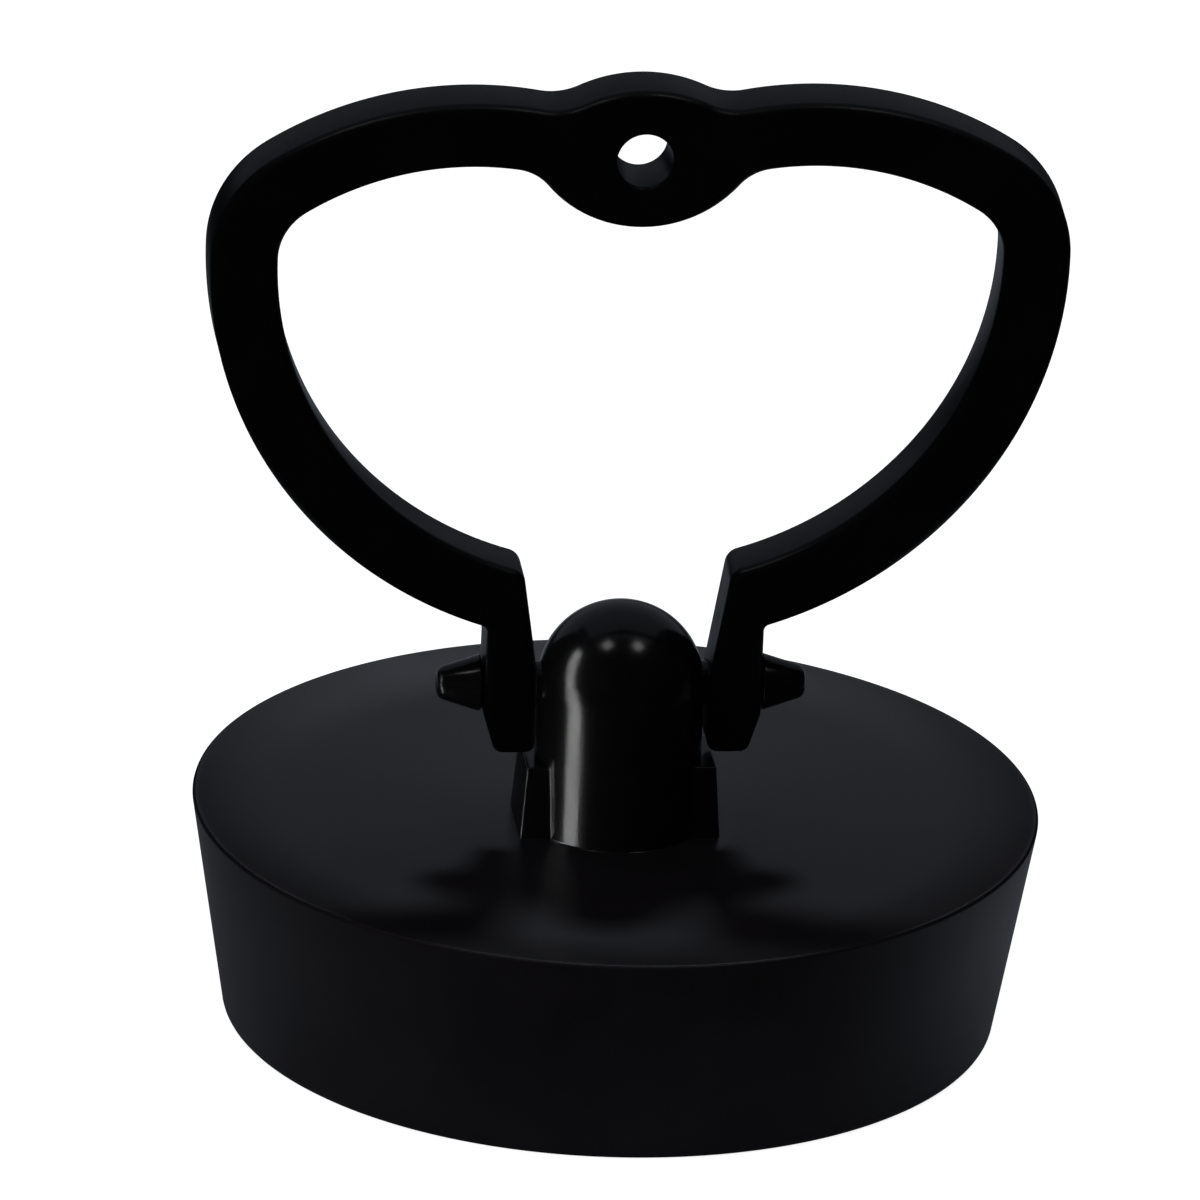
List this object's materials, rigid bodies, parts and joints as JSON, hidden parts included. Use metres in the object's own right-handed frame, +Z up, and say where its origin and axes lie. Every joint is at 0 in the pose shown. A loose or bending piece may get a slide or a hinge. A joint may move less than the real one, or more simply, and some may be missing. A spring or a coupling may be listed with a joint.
{
  "type": "drain stopper",
  "caption": "Tapered rubber basin plug with a domed post and a heart-shaped swinging bail with a chain eye.",
  "frame": {"origin": "middle of the plug's flat underside, on the axis of the plug and the post", "axes": "+Z up along the post, +X along the hinge of the bail, +Y out of the back of the upright bail"},
  "size_m": [0.0458, 0.045, 0.0533],
  "materials": {
    "plug_rubber": "satin black moulded rubber",
    "post_plastic": "polished black plastic",
    "bail_plastic": "semi-gloss black plastic"
  },
  "bodies": {
    "plug": {"rubber_plug": "plug_rubber", "post": "post_plastic"},
    "bail": {"heart_bail": "bail_plastic"}
  },
  "joints": [
    {"name": "bail_hinge", "type": "hinge", "parent": "plug", "child": "bail", "pos_m": [0, 0, 0.01885], "axis": [1, 0, 0], "range_deg": [-108, 108]}
  ]
}
